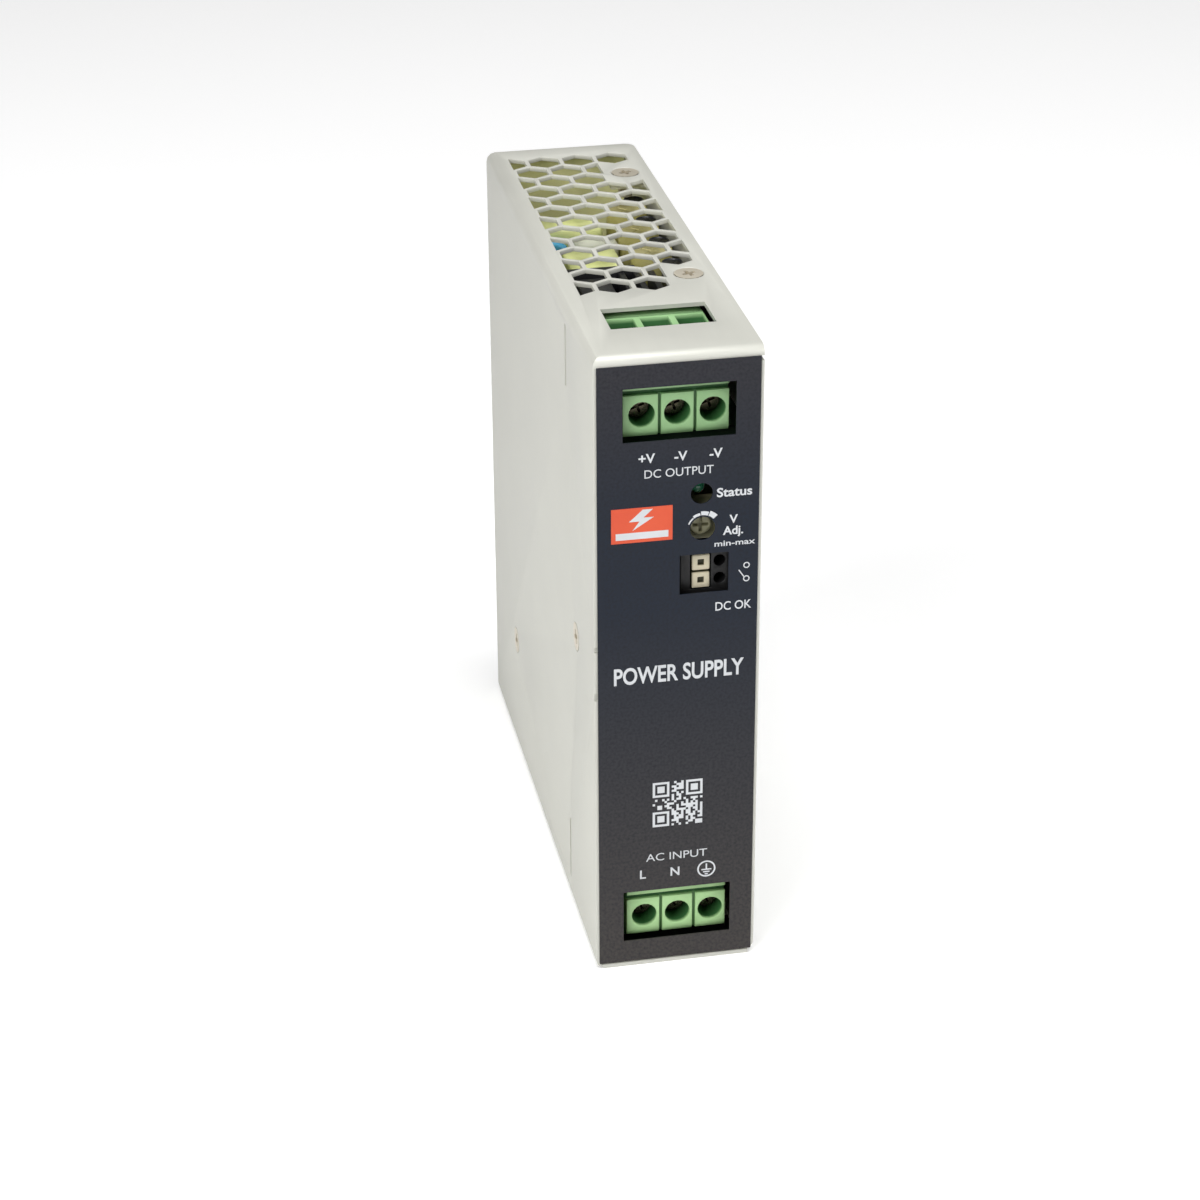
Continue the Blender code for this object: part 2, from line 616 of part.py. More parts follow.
def power_parts(looks):
    """The larger parts on the boards."""
    can("bulk_capacitor", looks["can"], (0.9, 96.5, 34), 10.5, 50)
    can("output_capacitor_1", looks["can"], (8.8, 64.8, OUTPUT_BOARD[1] + GAP), 4.0, 11.5)
    can("output_capacitor_2", looks["can"], (8.8, 76.9, OUTPUT_BOARD[1] + GAP), 4.0, 11.5)

    box("output_inductor", looks["tape"], (-9.8, 80.2, OUTPUT_BOARD[1] + GAP), (2.6, 89.2, 118.6), 1.5)

    bm = bmesh.new()
    add_turned(bm, [(3.2, 0), (9.0, 0), (9.5, 0.6), (9.5, 9.4), (9.0, 10), (3.2, 10)],
               (1.0, 27, INPUT_BOARD[1] + GAP + 9.5), "y")
    make("line_choke", bm, looks["core"], smooth=True)

    bm = bmesh.new()
    add_turned(bm, [(0, 0), (3.4, 0), (4.0, 0.8), (4.0, 2.4), (3.4, 3.2), (0, 3.2)], (-8.6, 76.4, 113.6), "y")
    make("y_capacitor", bm, looks["blue"], smooth=True)

    bm = bmesh.new()
    add_turned(bm, [(0, 0), (4.2, 0), (4.2, 7.6), (3.8, 8.0), (0, 8.0)], (-5, 12, INPUT_BOARD[1] + GAP), "z")
    make("fuse", bm, looks["brown"], smooth=True)

    box("x_capacitor", looks["tape"], (-8, 42, INPUT_BOARD[1] + GAP), (10, 50, 33), 0.6)
    box("relay", looks["black"], (-9.8, 37, OUTPUT_BOARD[1] + GAP), (-1.8, 53.5, 118.3), 0.4)
    box("bridge_rectifier", looks["black"], (-10.4, 76, 24), (8, 79.6, 40), 0.3)
    box("boost_choke", looks["tape"], (-10.4, 30, 46), (8.5, 56, 70), 1.5)

    bm = bmesh.new()
    add_prism(bm, comb_outline(0.2, 12.8, OUTPUT_BOARD[1] + GAP, 109.3, 118.6, 5, 1.2), "y", 35, 54.5)
    make("output_heatsink", bm, looks["dark_metal"])

    bm = bmesh.new()
    outline = comb_outline(-10.4, 12.4, 72.5, 70.3, 63.0, 5, 1.4)
    add_prism(bm, outline, "z", 24, 84)
    make("primary_heatsink", bm, looks["metal"])


# ---------------------------------------------------------------- rail clip

def rail_clip(looks):
    """The fixed bracket that hooks over the rail, the sprung latch below it and the latch spring."""
    back = DEPTH

    def section(bm, corners, left, right):
        add_prism(bm, [(back + y, z) for y, z in corners], "x", left, right)

    bm = bmesh.new()
    section(bm, [(PLATE[0], 22), (PLATE[1], 22), (PLATE[1], RAIL_TOP + GAP), (HOOK[0], RAIL_TOP + GAP),
                 (HOOK[0], RAIL_TOP - 2.7), (HOOK[1] - 0.5, RAIL_TOP - 3.1), (HOOK[1], RAIL_TOP - 2.5),
                 (HOOK[1], RAIL_TOP + 2.6), (PLATE[0], 92)], -11.5, 11.5)
    bracket = make("rail_bracket", bm, looks["bracket"])

    def union(name, build):
        extra = bmesh.new()
        build(extra)
        piece = make(name, extra)
        piece.hide_render = True
        piece.display_type = "WIRE"
        modifier = bracket.modifiers.new(name, "BOOLEAN")
        modifier.operation = "UNION"
        modifier.solver = "EXACT"
        modifier.object = piece

    def guides(extra):
        for side in (-1, 1):
            corners = [(side * 11.0, back + 1.5), (side * 11.0, back + 5.5), (side * 5.4, back + 5.5),
                       (side * 5.4, back + 4.2), (side * 6.9, back + 4.2), (side * 6.9, back + 1.5)]
            add_prism(extra, corners, "z", 23.0, 43.5)

    union("bracket_guides", guides)
    union("bracket_tab", lambda extra: add_box(extra, (-1.7, back + 1.5, 26.0), (1.7, back + 5.4, 28.0)))

    def screw_seats(cutter):
        for x in (-BRACKET_SCREW_X, BRACKET_SCREW_X):
            countersink(cutter, (x, back + PLATE[1], BRACKET_SCREW_Z), "y", 1, 0.2)

    cut(bracket, "bracket_screw_seats", screw_seats)

    bm = bmesh.new()
    section(bm, [(2.6, 6), (5.2, 6), (5.2, 10), (HOOK[1], 12), (HOOK[1], RAIL_BOTTOM + 2.2),
                 (HOOK[1] - 0.5, RAIL_BOTTOM + 2.7), (HOOK[0], RAIL_BOTTOM + 2.2), (HOOK[0], RAIL_BOTTOM - GAP),
                 (2.6, RAIL_BOTTOM - GAP)], -5.0, 5.0)
    latch = make("rail_latch", bm, looks["latch"])
    bm = bmesh.new()
    add_box(bm, (-6.6, back + 2.6, 24.5), (6.6, back + 3.9, 46.0))
    wings = make("latch_wings", bm)
    wings.hide_render = True
    wings.display_type = "WIRE"
    join = latch.modifiers.new("latch_wings", "BOOLEAN")
    join.operation = "UNION"
    join.solver = "EXACT"
    join.object = wings

    def window(cutter):
        add_box(cutter, (-2.1, back + 1.5, 25.0), (2.1, back + 7, 42.0))
        add_box(cutter, (-2.5, back + 1.5, 8.5), (2.5, back + 7, 11.0))

    cut(latch, "latch_window", window)
    set_pivot(latch, (0, back + 4.1, RAIL_BOTTOM))
    latch_spring(looks["spring"], back + 4.1)


def latch_spring(look, depth):
    """A compression spring between the bracket's tab and the top of the latch's window."""
    curve = bpy.data.curves.new("latch_spring", "CURVE")
    curve.dimensions = "3D"
    curve.bevel_depth = SPRING_WIRE / 2 * MM
    curve.bevel_resolution = 0
    curve.use_fill_caps = True
    spline = curve.splines.new("POLY")
    steps = SPRING_TURNS * 10
    low = SPRING_LOW + SPRING_WIRE / 2
    rise = SPRING_HIGH - SPRING_LOW - SPRING_WIRE
    radius = SPRING_RADIUS - SPRING_WIRE / 2
    spline.points.add(steps)
    for step, point in enumerate(spline.points):
        angle = 2 * math.pi * SPRING_TURNS * step / steps
        spot = place(radius * math.cos(angle), depth + radius * math.sin(angle), low + rise * step / steps)
        point.co = (*spot, 1)
    curve.materials.append(look)
    item = bpy.data.objects.new("latch_spring", curve)
    bpy.context.scene.collection.objects.link(item)


# ---------------------------------------------------------------- the whole object

def build():
    """Build every piece of the power supply."""
    for item in list(bpy.data.objects):
        bpy.data.objects.remove(item)

    sheet = material("case_sheet", (0.62, 0.62, 0.58), 0.6, 0.42)
    zinc = material("zinc_screw", (0.62, 0.60, 0.55), 1.0, 0.35)
    board = material("board_laminate", (0.10, 0.24, 0.08), 0.0, 0.5)
    black = material("black_plastic", (0.02, 0.02, 0.02), 0.0, 0.5)
    shell = case_shell(sheet)
    label = front_label(material("label_foil", (0.05, 0.055, 0.065), 0.0, 0.45))
    cut_with(shell, front_windows(LABEL_LIP))
    cut_with(label, front_windows(0))
    side_cover(material("cover_sheet", (0.62, 0.62, 0.58), 0.6, 0.42))

    number = 0
    for z, outward in ((HEIGHT, 1), (0, -1)):
        for y in COVER_SCREW_Y:
            number += 1
            sunk_screw(f"cover_screw_{number}", zinc, (COVER_SCREW_X, y, z), "z", outward)
    for number, (y, z) in enumerate(SIDE_SCREWS, 1):
        sunk_screw(f"side_screw_{number}", zinc, (-HALF, y, z), "x", -1)
    for number, x in enumerate((-BRACKET_SCREW_X, BRACKET_SCREW_X), 1):
        sunk_screw(f"bracket_screw_{number}", zinc, (x, DEPTH + PLATE[1], BRACKET_SCREW_Z), "y", 1)

    terminal_looks = {
        "housing": material("green_plastic", (0.20, 0.48, 0.18), 0.0, 0.45),
        "screw": zinc,
        "cage": material("cage_nickel", (0.55, 0.53, 0.48), 1.0, 0.3),
        "contact": material("contact_tin", (0.70, 0.68, 0.62), 1.0, 0.3),
    }
    terminal("output", terminal_looks, OUTPUT_AXIS, OUTPUT_SECTION, OUTPUT_REACH, 1, -4.55)
    terminal("input", terminal_looks, INPUT_AXIS, INPUT_SECTION, INPUT_REACH, -1, -6.6)
    signal_terminal({"housing": black, "button": material("button_cream", (0.75, 0.68, 0.50), 0.0, 0.4)})
    olive = material("rotor_olive", (0.22, 0.24, 0.16), 0.0, 0.5)
    trimmer({"housing": olive, "rotor": olive})
    status_led(material("lamp_green", (0.10, 0.55, 0.20), 0.0, 0.15))

    boards(board, material("insulation_film", (0.75, 0.72, 0.60), 0.0, 0.5))
    power_looks = {
        "core": material("ferrite", (0.07, 0.07, 0.075), 0.0, 0.6),
        "tape": material("yellow_tape", (0.72, 0.70, 0.12), 0.0, 0.45),
        "can": material("can_sleeve", (0.03, 0.03, 0.035), 0.0, 0.35),
        "blue": material("blue_coat", (0.20, 0.45, 0.70), 0.0, 0.4),
        "brown": material("brown_case", (0.20, 0.10, 0.05), 0.0, 0.4),
        "black": black,
        "dark_metal": material("black_anodised", (0.05, 0.05, 0.05), 0.8, 0.45),
        "metal": material("plain_aluminium", (0.70, 0.70, 0.70), 1.0, 0.4),
    }
    transformer(power_looks)
    power_parts(power_looks)
    rail_clip({"bracket": material("bracket_steel", (0.55, 0.55, 0.52), 1.0, 0.4), "latch": black,
               "spring": material("spring_steel", (0.5, 0.5, 0.5), 1.0, 0.3)})


build()
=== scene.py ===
"""Slim DIN rail power supply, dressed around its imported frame.

Sections follow the order of assembly: studio, boards, wound parts, capacitors, power parts, terminals,
front controls, case, label and rail clip. Lengths are metres; MM turns millimetres into them.
"""

import math
import random

import bmesh
import bpy
from mathutils import Matrix, Vector


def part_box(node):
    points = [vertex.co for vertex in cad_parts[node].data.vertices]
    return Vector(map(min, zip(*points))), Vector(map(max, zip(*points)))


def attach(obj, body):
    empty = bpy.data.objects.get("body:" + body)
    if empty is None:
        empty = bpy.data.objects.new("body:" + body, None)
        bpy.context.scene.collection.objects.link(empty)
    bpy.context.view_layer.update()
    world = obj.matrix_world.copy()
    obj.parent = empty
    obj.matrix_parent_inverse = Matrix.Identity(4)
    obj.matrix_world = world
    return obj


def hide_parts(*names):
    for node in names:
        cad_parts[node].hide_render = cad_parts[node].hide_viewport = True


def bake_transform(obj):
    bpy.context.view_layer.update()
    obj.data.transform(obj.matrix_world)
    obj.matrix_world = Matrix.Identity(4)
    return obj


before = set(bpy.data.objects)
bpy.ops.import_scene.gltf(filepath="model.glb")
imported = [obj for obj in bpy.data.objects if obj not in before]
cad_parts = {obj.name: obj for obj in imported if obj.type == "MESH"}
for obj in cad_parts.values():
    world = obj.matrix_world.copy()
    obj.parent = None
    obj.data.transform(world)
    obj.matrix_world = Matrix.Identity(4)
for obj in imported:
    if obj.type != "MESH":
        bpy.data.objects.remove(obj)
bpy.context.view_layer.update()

# ---------------------------------------------------------------- studio
# A pale floor, a white surround and three soft lamps. The camera stands in front, to the left and above,
# and looks along the direction in which the supply hangs on its rail.

MM = 0.001
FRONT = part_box("case_shell")[0].y
YAW = math.radians(10.89)
PITCH = math.radians(26.55)
ROLL = math.radians(-0.34)

camera_data = bpy.data.cameras.new("camera")
camera_data.lens = 91.9
camera_data.sensor_width = 36.0
camera = bpy.data.objects.new("camera", camera_data)
bpy.context.scene.collection.objects.link(camera)
camera.matrix_world = (Matrix.Translation((-106.1 * MM, FRONT - 478.2 * MM, 321.2 * MM))
                       @ Matrix.Rotation(-YAW, 4, "Z")
                       @ Matrix.Rotation(math.pi / 2 - PITCH, 4, "X")
                       @ Matrix.Rotation(ROLL, 4, "Z"))
bpy.context.scene.camera = camera
bpy.context.scene.view_settings.view_transform = "Standard"


class Wire:
    """One shader socket. Arithmetic on it adds Math nodes to its tree."""

    def __init__(self, tree, socket):
        self.tree = tree
        self.socket = socket

    def add(self, kind, sockets, output=0, **settings):
        """Add a node: its settings first, then the values or links of its sockets."""
        node = self.tree.nodes.new(kind)
        for name, value in settings.items():
            setattr(node, name, value)
        for name, value in sockets.items():
            if isinstance(value, Wire):
                self.tree.links.new(value.socket, node.inputs[name])
            else:
                node.inputs[name].default_value = value
        return Wire(self.tree, node.outputs[output])

    def math(self, operation, first, second):
        """A Math node on two values or wires."""
        return self.add("ShaderNodeMath", {0: first, 1: second}, operation=operation)

    def __add__(self, other):
        return self.math("ADD", self, other)

    __radd__ = __add__

    def __sub__(self, other):
        return self.math("SUBTRACT", self, other)

    def __rsub__(self, other):
        return self.math("SUBTRACT", other, self)

    def __mul__(self, other):
        return self.math("MULTIPLY", self, other)

    __rmul__ = __mul__

    def __gt__(self, other):
        return self.math("GREATER_THAN", self, other)

    def __lt__(self, other):
        return self.math("LESS_THAN", self, other)

    def noise(self, scale, detail=2.0, output=0):
        """Noise over this position, about 0.5 on average."""
        return self.add("ShaderNodeTexNoise", {"Vector": self, "Scale": scale, "Detail": detail}, output)

    def stretched(self, scale):
        """This position scaled by a different factor along each axis."""
        return self.add("ShaderNodeMapping", {"Vector": self, "Scale": scale})

    def axis(self, letter):
        """One coordinate of this position."""
        return self.add("ShaderNodeSeparateXYZ", {"Vector": self}, "XYZ".index(letter))

    def sharpen(self, low, high):
        """This value mapped so that low gives 0 and high gives 1."""
        return self.add("ShaderNodeMapRange", {"Value": self, "From Min": low, "From Max": high})

    def blend(self, low, high):
        """A colour between low and high, with this value as the factor."""
        mixed = {0: self, 6: low if isinstance(low, Wire) else (*low, 1.0),
                 7: high if isinstance(high, Wire) else (*high, 1.0)}
        return self.add("ShaderNodeMix", mixed, 2, data_type="RGBA")

    def feed(self, shader, name):
        """Link this wire to a socket of a shader."""
        self.tree.links.new(self.socket, shader.inputs[name])


def blank(name, **fixed):
    """A new material, its shader with fixed values, and the wire of its Object coordinates."""
    look = bpy.data.materials.new(name)
    look.use_nodes = True
    tree = look.node_tree
    shader = tree.nodes["Principled BSDF"]
    for socket, value in fixed.items():
        shader.inputs[socket.replace("_", " ")].default_value = value
    spot = Wire(tree, tree.nodes.new("ShaderNodeTexCoord").outputs["Object"])
    return look, shader, spot


def surface(name, dark, light, roughness, spread, grain=1500.0, blotch=90.0, bump=0.1, **fixed):
    """A finish with two close tones in soft blotches, fine grain in the roughness and a fine relief."""
    look, shader, spot = blank(name, **fixed)
    patches = spot.noise(blotch, 3.0).sharpen(0.35, 0.65)
    fine = spot.noise(grain, 2.0)
    (patches * 0.7 + fine * 0.3).blend(dark, light).feed(shader, "Base Color")
    (roughness + (fine - 0.5) * spread * 2.0 + (patches - 0.5) * spread).feed(shader, "Roughness")
    relief = {"Height": fine, "Strength": bump, "Distance": 0.05 * MM}
    spot.add("ShaderNodeBump", relief).feed(shader, "Normal")
    return look


bpy.ops.mesh.primitive_plane_add(size=8.0, location=(0, 0, 0))
floor = bpy.context.object
floor.name = "floor"
floor_look, floor_shader, floor_spot = blank("pale_floor", Roughness=0.9)
floor_spot.noise(6.0, 2.0).blend((0.93, 0.93, 0.93), (0.95, 0.95, 0.95)).feed(floor_shader, "Base Color")
floor_path = floor_look.node_tree.nodes.new("ShaderNodeLightPath")
floor_seen = Wire(floor_look.node_tree, floor_path.outputs["Is Camera Ray"])
floor_seen.blend((0, 0, 0), (1, 1, 1)).feed(floor_shader, "Emission Color")
floor_shader.inputs["Emission Strength"].default_value = 0.24
floor.data.materials.append(floor_look)

surround = bpy.data.worlds.new("surround")
surround.use_nodes = True
bpy.context.scene.world = surround
sky = surround.node_tree.nodes["Background"]
path = surround.node_tree.nodes.new("ShaderNodeLightPath")
direct = Wire(surround.node_tree, path.outputs["Is Camera Ray"])
mirrored = Wire(surround.node_tree, path.outputs["Is Glossy Ray"])
through = Wire(surround.node_tree, path.outputs["Is Transmission Ray"])
seen = direct.math("MAXIMUM", direct.math("MAXIMUM", direct, mirrored), through)
AMBIENT = 0.78
(AMBIENT + seen * (1 - AMBIENT)).feed(sky, "Strength")

for name, place, turn, size, power in (
        ("left_lamp", (-1.1, -0.9, 1.0), (62, 0, -52), 1.0, 18.0),
        ("right_lamp", (1.2, -0.8, 0.9), (62, 0, 56), 0.9, 9.0),
        ("top_lamp", (0.0, -0.2, 1.45), (8, 0, 0), 0.8, 14.0)):
    lamp_data = bpy.data.lights.new(name, "AREA")
    lamp_data.size = size
    lamp_data.energy = power
    lamp = bpy.data.objects.new(name, lamp_data)
    bpy.context.scene.collection.objects.link(lamp)
    lamp.location = place
    lamp.rotation_euler = [math.radians(angle) for angle in turn]

# ---------------------------------------------------------------- boards and film
# Four glass laminate boards, one on each side of the case and a small one behind the front controls, with
# small parts soldered flat on them. A pale yellow film folded round the left and the rear insulates them.


def shade(red, green, blue):
    """A linear colour from display values of 0 to 255."""
    return tuple(((value / 255 + 0.055) / 1.055) ** 2.4 for value in (red, green, blue))


def at(x, y, z):
    """A point from millimetres, with y counted from the front of the case."""
    return Vector((x * MM, FRONT + y * MM, z * MM))


def alone(piece):
    """Select one object only, and make it the active one."""
    bpy.ops.object.select_all(action="DESELECT")
    piece.select_set(True)
    bpy.context.view_layer.objects.active = piece


def choose(kind, test):
    """In edit mode, select only the faces or vertices whose middle and normal pass a test."""
    bpy.ops.mesh.select_all(action="DESELECT")
    bpy.ops.mesh.select_mode(type="FACE" if kind == "faces" else "VERT")
    grid = bmesh.from_edit_mesh(bpy.context.object.data)
    grid.normal_update()
    for item in getattr(grid, kind):
        middle = item.calc_center_median() if kind == "faces" else item.co
        if test(middle, item.normal):
            item.select_set(True)
    grid.select_flush_mode()
    bmesh.update_edit_mesh(bpy.context.object.data)


def soften(piece, width, steps=2, angle=30):
    """Round the sharp edges by a bevel in millimetres, and shade the curves smooth."""
    alone(piece)
    if width:
        edge = piece.modifiers.new("edge", "BEVEL")
        edge.width = width * MM
        edge.segments = steps
        edge.limit_method = "ANGLE"
        edge.angle_limit = math.radians(angle)
        bpy.ops.object.modifier_apply(modifier="edge")
    bpy.ops.object.shade_smooth_by_angle(angle=math.radians(angle + 5))


def settle(piece, name, look, body, slot, *nodes):
    """Name a finished piece, give it its place, finish and body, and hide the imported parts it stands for."""
    alone(piece)
    bpy.ops.object.transform_apply(location=True, rotation=True, scale=True)
    piece.name = name
    piece.data.name = name
    piece.data.materials.clear()
    piece.data.materials.append(look)
    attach(piece, body)
    if nodes:
        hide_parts(*nodes)
    return piece


def refine(node, look, slot, width=0.15, body="case", steps=2):
    """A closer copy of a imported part: merged, freed of its flat seams, its edges rounded."""
    piece = bpy.data.objects.new(node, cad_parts[node].data.copy())
    bpy.context.scene.collection.objects.link(piece)
    alone(piece)
    bpy.ops.object.mode_set(mode="EDIT")
    bpy.ops.mesh.select_all(action="SELECT")
    bpy.ops.mesh.remove_doubles(threshold=0.001 * MM)
    bpy.ops.mesh.dissolve_limited(angle_limit=math.radians(0.5))
    bpy.ops.object.mode_set(mode="OBJECT")
    soften(piece, width, steps)
    return settle(piece, node + "_finished", look, body, slot, node)


def block(low, high, width=0.2, steps=2):
    """A block between two corners in millimetres, its edges rounded."""
    low, high = at(*low), at(*high)
    bpy.ops.object.select_all(action="DESELECT")
    bpy.ops.mesh.primitive_cube_add(size=1, location=(low + high) / 2, scale=high - low)
    bpy.ops.object.transform_apply(location=False, rotation=False, scale=True)
    piece = bpy.context.object
    soften(piece, width, steps)
    return piece


def joined(items):
    """Join several objects into the first one."""
    alone(items[0])
    for item in items:
        item.select_set(True)
    bpy.ops.object.join()
    return items[0]


film = surface("pale_film", shade(238, 234, 166), shade(248, 245, 186), 0.4, 0.06, grain=700.0, bump=0.05)
film_shader = film.node_tree.nodes["Principled BSDF"]
film_spot = Wire(film.node_tree, film.node_tree.nodes["Texture Coordinate"].outputs["Object"])
# Painted light: the rear fold of the film glows faintly in pale yellow, though it is no lamp, so that it looks
# brighter through the vents.
rear_fold_painted_glow = film_spot.axis("Y").sharpen(FRONT + 110 * MM, FRONT + 116 * MM)
rear_fold_painted_glow.blend((0, 0, 0), shade(238, 240, 176)).feed(film_shader, "Emission Color")
film_shader.inputs["Emission Strength"].default_value = 0.28
# Painted shade: the laminate is coloured near black-green, darker than bare board, so that the boards seen in
# the shade inside the case look black.
laminate = surface("laminate_painted_dark", shade(18, 36, 24), shade(28, 52, 34), 0.45, 0.1, grain=2500.0)
refine("insulation_sheet", film, "insulation_film", 0.05)
for board in ("main_board", "input_board", "output_board", "control_board"):
    refine(board, laminate, "board_laminate", 0.1)

resin = surface("black_resin", shade(34, 34, 36), shade(48, 48, 50), 0.45, 0.08)
solder = surface("solder", shade(168, 168, 166), shade(204, 204, 200), 0.28, 0.08, Metallic=1.0)
OUTPUT_BOARD_TOP = 107.25
INPUT_BOARD_FACE = 16.05
JOINT_PITCH = 6.0
draw = random.Random(4)
chips = []
joints = []
for x, y in ((-7, 14), (-2, 13), (4, 12), (9, 16), (-8, 93),
             (-3, 97), (2, 94), (6, 101), (-6, 101), (11, 102)):
    size = draw.choice((1.2, 1.8, 2.6))
    low = (x - size, y - size * 0.7, OUTPUT_BOARD_TOP)
    high = (x + size, y + size * 0.7, OUTPUT_BOARD_TOP + 0.65 + size * 0.3)
    chips.append(block(low, high, 0.15))
for row in range(8):
    y = 12 + row * JOINT_PITCH
    for x in (-7 + draw.uniform(-1, 1), draw.uniform(-1.5, 1.5), 8 + draw.uniform(-1, 1)):
        bpy.ops.object.select_all(action="DESELECT")
        bpy.ops.mesh.primitive_cone_add(vertices=12, radius1=0.25 * MM, radius2=0.9 * MM, depth=0.6 * MM,
                                        location=at(x, y, INPUT_BOARD_FACE))
        joints.append(bpy.context.object)
settle(joined(chips), "board_chips", resin, "case", "black_plastic")
bumps = joined(joints)
soften(bumps, 0.1)
settle(bumps, "solder_joints", solder, "case", "contact_tin")

# ---------------------------------------------------------------- transformer and chokes
# A ferrite core in two halves over a coil former. The windings are wrapped in yellow polyester tape,
# its overlapping turns just visible, and the output inductor and boost choke are finished in the same tape;
# the line choke is dark ferrite.


def wrapped(name, dark, light):
    """Yellow tape: glossy, with the edge of each turn showing as a fine step."""
    look, shader, spot = blank(name, Coat_Roughness=0.15)
    patches = spot.noise(160.0, 3.0).sharpen(0.35, 0.65)
    patches.blend(dark, light).feed(shader, "Base Color")
    (0.34 + patches * 0.1).feed(shader, "Roughness")
    turns = spot.add("ShaderNodeTexWave", {"Vector": spot, "Scale": 55.0, "Distortion": 0.6},
                     1, bands_direction="Z", wave_profile="SAW")
    relief = {"Height": turns, "Strength": 0.25, "Distance": 0.1 * MM}
    spot.add("ShaderNodeBump", relief).feed(shader, "Normal")
    return look


tape = wrapped("yellow_tape", shade(212, 218, 142), shade(228, 233, 164))
ferrite = surface("dark_ferrite", shade(46, 46, 47), shade(66, 66, 66), 0.55, 0.1, grain=3000.0, bump=0.3)
refine("transformer_core", ferrite, "ferrite", 0.3)
refine("transformer_coil", tape, "yellow_winding", 0.5, steps=3)
refine("output_inductor", tape, "yellow_winding", 0.3)
refine("boost_choke", tape, "yellow_winding", 0.3)
refine("line_choke", ferrite, "ferrite", 0.4, steps=3)

copper = surface("enamelled_copper", shade(150, 78, 36), shade(186, 104, 50), 0.3, 0.06, Metallic=0.7)
CHOKE = (1.0, 32, 27.8)
CHOKE_RADIUS = 6.1
WIRE_RADIUS = 0.42
turns = []
for side in (-1, 1):
    for turn in range(9):
        angle = math.pi / 2 * (1 - side) + side * math.radians(-58 + turn * 14.5)
        bpy.ops.object.select_all(action="DESELECT")
        bpy.ops.mesh.primitive_torus_add(major_radius=1.0 * MM, minor_radius=WIRE_RADIUS * MM,
                                         major_segments=16, minor_segments=8, location=(0, 0, 0))
        ring = bpy.context.object
        ring.scale = (4.4, 6.2, 1.0)
        bpy.ops.object.transform_apply(scale=True)
        ring.rotation_euler = (0, math.pi - angle, 0)
        ring.location = at(*CHOKE) + Vector((math.cos(angle), 0, math.sin(angle))) * CHOKE_RADIUS * MM
        turns.append(ring)
windings = joined(turns)
bpy.ops.object.shade_smooth()
settle(windings, "choke_windings", copper, "case", "yellow_winding")

glue = surface("pale_sealant", shade(196, 198, 180), shade(216, 218, 202), 0.6, 0.1, grain=600.0, bump=0.4)
bead = block((-4.3, 74.5, 112.6), (4.6, 79.9, 117.2), 1.4, 4)
settle(bead, "sealant_bead", glue, "case", "can_sleeve")

# ---------------------------------------------------------------- capacitors
# Electrolytic cans stand on the boards in shrink sleeves. A groove is rolled near the base, the sleeve
# laps over the rim, and the bare aluminium top is scored with a cross so that it vents safely.


def can(name, x, y, low, high, radius, sleeve, top, slot, *nodes):
    """One can: a cylinder with a rolled groove near its foot and a rim round its scored top."""
    bpy.ops.object.select_all(action="DESELECT")
    bpy.ops.mesh.primitive_cylinder_add(vertices=40, radius=radius * MM, depth=(high - low) * MM,
                                        location=at(x, y, (low + high) / 2))
    bpy.ops.object.transform_apply()
    piece = bpy.context.object
    bpy.ops.object.mode_set(mode="EDIT")
    groove = low + 2.1
    for level in (groove - 0.5, groove, groove + 0.5):
        bpy.ops.mesh.select_all(action="SELECT")
        bpy.ops.mesh.bisect(plane_co=at(x, y, level), plane_no=(0, 0, 1))
    choose("verts", lambda spot, normal: abs(spot.z - groove * MM) < 0.01 * MM)
    bpy.ops.transform.resize(value=(0.93, 0.93, 1), center_override=at(x, y, groove))
    choose("faces", lambda spot, normal: normal.z > 0.9)
    bpy.ops.mesh.inset(thickness=radius * 0.14 * MM)
    sunk = 0.3
    bpy.ops.transform.translate(value=(0, 0, -sunk * MM))
    bpy.ops.object.mode_set(mode="OBJECT")
    for turn in (0, 1):
        bpy.ops.object.select_all(action="DESELECT")
        bpy.ops.mesh.primitive_cube_add(size=1, location=at(x, y, high - sunk),
                                        scale=(radius * 1.1 * MM, radius * 0.1 * MM, sunk * MM))
        bar = bpy.context.object
        bar.rotation_euler = (0, 0, math.radians(45 + 90 * turn))
        score = piece.modifiers.new("score", "BOOLEAN")
        score.operation = "DIFFERENCE"
        score.object = bar
        alone(piece)
        bpy.ops.object.modifier_apply(modifier="score")
        bpy.data.objects.remove(bar)
    soften(piece, 0.12)
    piece = settle(piece, name, sleeve, "case", slot, *nodes)
    piece.data.materials.append(top)
    for face in piece.data.polygons:
        inside = math.hypot(face.center.x - x * MM, face.center.y - at(x, y, 0).y) < radius * 0.84 * MM
        face.material_index = int(inside and face.center.z > (high - 1) * MM)
    return piece


pale_top = surface("pale_can_top", shade(176, 168, 112), shade(206, 198, 146), 0.35, 0.08, Metallic=0.3)
dark_top = surface("dark_can_top", shade(44, 44, 44), shade(66, 66, 64), 0.35, 0.08, Metallic=0.4)
beige = surface("beige_sleeve", shade(186, 178, 110), shade(206, 198, 130), 0.32, 0.05)
dark_sleeve = surface("dark_sleeve", shade(36, 38, 44), shade(52, 54, 60), 0.3, 0.05)
can("bulk_can", 0.9, 96.5, 34, 84, 10.5, dark_sleeve, dark_top, "can_sleeve", "bulk_capacitor")
CAN_FOOT = 107.5
for number, y in enumerate((64.8, 76.9, 88.9), 1):
    nodes = (f"output_capacitor_{number}",) if number < 3 else ()
    can(f"output_can_{number}", 8.8, y, CAN_FOOT, 119, 4.0, beige, pale_top, "can_sleeve", *nodes)
for number, y in enumerate((58.4, 70.6, 82.8, 95.0), 1):
    can(f"small_can_{number}", 11.5, y, CAN_FOOT, 118.6, 2.0, dark_sleeve, dark_top, "can_sleeve")

# ---------------------------------------------------------------- filter and power parts
# The filter capacitors, fuse, relay and rectifier are cast or moulded cases soldered to the boards. Two
# extruded aluminium combs carry the heat of the transistors clamped to them.

